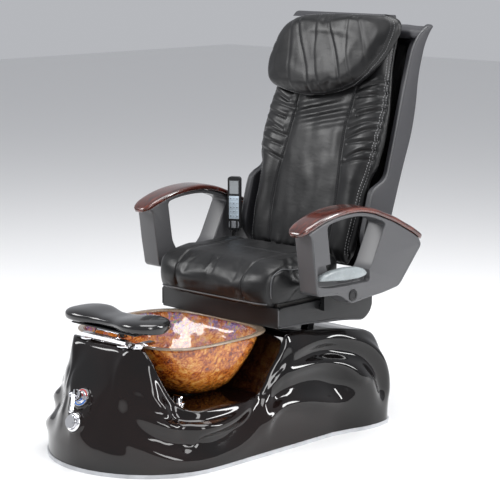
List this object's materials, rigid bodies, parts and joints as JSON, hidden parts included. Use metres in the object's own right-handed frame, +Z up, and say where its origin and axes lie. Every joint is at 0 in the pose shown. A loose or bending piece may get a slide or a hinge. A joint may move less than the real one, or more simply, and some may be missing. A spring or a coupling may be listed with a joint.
{
  "type": "pedicure spa chair",
  "caption": "Pedicure spa chair: glossy plumbing base with a glass foot bowl, front mixer and footrest, and a reclining massage armchair on slide rails.",
  "frame": {"origin": "on the floor, at the underside of the base frame's middle cross tube", "axes": "+X the sitter's left, -Y the front with the footrest, +Z up"},
  "size_m": [0.82, 1.4249, 1.3749],
  "materials": {
    "base_gloss": "polished gel coat",
    "trim_strip": "satin",
    "frame_steel": "satin black",
    "bowl_glass": "hammered, iridescent",
    "seal_rubber": "matte",
    "chrome": "polished",
    "post_metal": "polished",
    "bright_steel": "zinc plated",
    "pipe_plastic": "smooth",
    "pipe_brass": "bright",
    "motor_black": "matte",
    "leather": "soft sheen, pale stitching",
    "shell_leather": "smooth",
    "deck_wood": "plywood",
    "skirt_black": "satin",
    "arm_plastic": "satin",
    "arm_wood": "cherry, lacquered",
    "lever_grey": "satin",
    "remote_black": "satin",
    "screen": "grey window",
    "keypad": "pale membrane",
    "cord_black": "satin"
  },
  "bodies": {
    "base": {"base_shell": "base_gloss", "base_trim": "trim_strip", "base_frame": "frame_steel", "access_panel": "base_gloss", "panel_screws": "bright_steel", "riser_plate": "frame_steel", "bowl": "bowl_glass", "bowl_gasket": "seal_rubber", "drain_body": "chrome", "drain_pipe": "pipe_plastic", "water_stubs": "pipe_brass", "jet_housing": "chrome", "jet_motor": "motor_black", "fill_spout": "chrome", "faucet_escutcheon": "chrome", "faucet_body": "chrome", "diverter_escutcheon": "chrome", "drain_escutcheon": "chrome", "footrest_sleeves": "chrome", "lower_rails": "frame_steel"},
    "stopper": {"drain_stopper": "chrome"},
    "impeller": {"jet_impeller": "pipe_plastic"},
    "faucet_turn": {"faucet_turret": "chrome"},
    "faucet_handle": {"faucet_lever": "chrome"},
    "diverter": {"diverter_knob": "chrome"},
    "drain_control": {"drain_knob": "chrome"},
    "footrest_lift": {"footrest_posts": "post_metal", "footrest_bracket": "chrome"},
    "footrest": {"footrest_plate": "frame_steel", "footrest_pad": "leather"},
    "seat": {"upper_rails": "bright_steel", "seat_frame": "frame_steel", "seat_deck": "deck_wood", "seat_cushion": "leather", "skirt_panels": "skirt_black", "arm_axles": "bright_steel", "recline_pins": "bright_steel", "actuator_body": "motor_black", "remote_stalk": "remote_black", "cord_gland": "remote_black", "remote_cord": "cord_black"},
    "actuator": {"actuator_rod": "bright_steel"},
    "arm_left": {"arm_shell_left": "arm_plastic", "arm_pad_left": "arm_wood", "lever_pin": "bright_steel"},
    "arm_right": {"arm_shell_right": "arm_plastic", "arm_pad_right": "arm_wood"},
    "lever": {"recline_lever": "lever_grey"},
    "back": {"back_frame": "frame_steel", "back_cushion": "leather", "side_shell_left": "shell_leather", "side_shell_right": "shell_leather", "rear_cover": "shell_leather", "massage_rods": "bright_steel"},
    "carriage": {"massage_carriage": "motor_black"},
    "rollers": {"massage_rollers": "pipe_plastic"},
    "pillow": {"head_pillow": "leather"},
    "remote": {"remote_case": "remote_black", "remote_screen": "screen", "remote_keypad": "keypad"}
  },
  "joints": [
    {"name": "seat_slide", "type": "slide", "parent": "base", "child": "seat", "axis": [0, 1, 0], "range_m": [-0.05, 0.05]},
    {"name": "back_recline", "type": "hinge", "parent": "seat", "child": "back", "pos_m": [0, 0.33, 0.48], "axis": [-1, 0, 0], "range_deg": [0, 28]},
    {"name": "actuator_stroke", "type": "slide", "parent": "seat", "child": "actuator", "axis": [0, -1, 0], "range_m": [0, 0.03]},
    {"name": "arm_left_lift", "type": "hinge", "parent": "seat", "child": "arm_left", "pos_m": [0, 0.085, 0.487], "axis": [-1, 0, 0], "range_deg": [0, 35]},
    {"name": "arm_right_lift", "type": "hinge", "parent": "seat", "child": "arm_right", "pos_m": [0, 0.085, 0.487], "axis": [-1, 0, 0], "range_deg": [0, 35]},
    {"name": "lever_pull", "type": "hinge", "parent": "arm_left", "child": "lever", "pos_m": [0.39, -0.05, 0.56], "axis": [1, 0, 0], "range_deg": [0, 15], "stiffness_Nm_per_rad": 4, "springref_deg": -8.59},
    {"name": "footrest_height", "type": "slide", "parent": "base", "child": "footrest_lift", "axis": [0, 0, 1], "range_m": [0, 0.07]},
    {"name": "footrest_tilt", "type": "hinge", "parent": "footrest_lift", "child": "footrest", "pos_m": [0, -0.6, 0.414], "axis": [1, 0, 0], "range_deg": [-10, 12]},
    {"name": "mixer_turn", "type": "hinge", "parent": "base", "child": "faucet_turn", "pos_m": [0, -0.723, 0.222], "axis": [0, -0.866, 0.5], "range_deg": [-60, 30]},
    {"name": "mixer_lift", "type": "hinge", "parent": "faucet_turn", "child": "faucet_handle", "pos_m": [0, -0.75764, 0.242], "axis": [-0.866, -0.25, -0.433], "range_deg": [0, 18]},
    {"name": "diverter_turn", "type": "hinge", "parent": "base", "child": "diverter", "pos_m": [0, -0.754, 0.15], "axis": [0, -0.9511, 0.309], "range_deg": [0, 90]},
    {"name": "drain_turn", "type": "hinge", "parent": "base", "child": "drain_control", "pos_m": [0.172, -0.478, 0.2], "axis": [0, 0, 1], "range_deg": [0, 90]},
    {"name": "stopper_lift", "type": "slide", "parent": "base", "child": "stopper", "axis": [0, 0, 1], "range_m": [0, 0.01]},
    {"name": "impeller_spin", "type": "hinge", "parent": "base", "child": "impeller", "pos_m": [0.075, -0.345, 0.17], "axis": [0, 0, 1], "continuous": true},
    {"name": "carriage_travel", "type": "slide", "parent": "back", "child": "carriage", "axis": [0, 0.2756, 0.9613], "range_m": [-0.2, 0.2]},
    {"name": "roller_spin", "type": "hinge", "parent": "carriage", "child": "rollers", "pos_m": [0, 0.43347, 0.94968], "axis": [1, 0, 0], "continuous": true},
    {"name": "pillow_flip", "type": "hinge", "parent": "back", "child": "pillow", "pos_m": [0, 0.5204, 1.36167], "axis": [-1, 0, 0], "range_deg": [0, 100]},
    {"name": "remote_lift", "type": "slide", "parent": "seat", "child": "remote", "axis": [0, 0, 1], "range_m": [0, 0.05]}
  ],
  "couplings": [
    {"joint": "drain_turn", "follows": "stopper_lift", "rad_per_m": 157},
    {"joint": "actuator_stroke", "follows": "back_recline", "m_per_rad": 0.046}
  ]
}
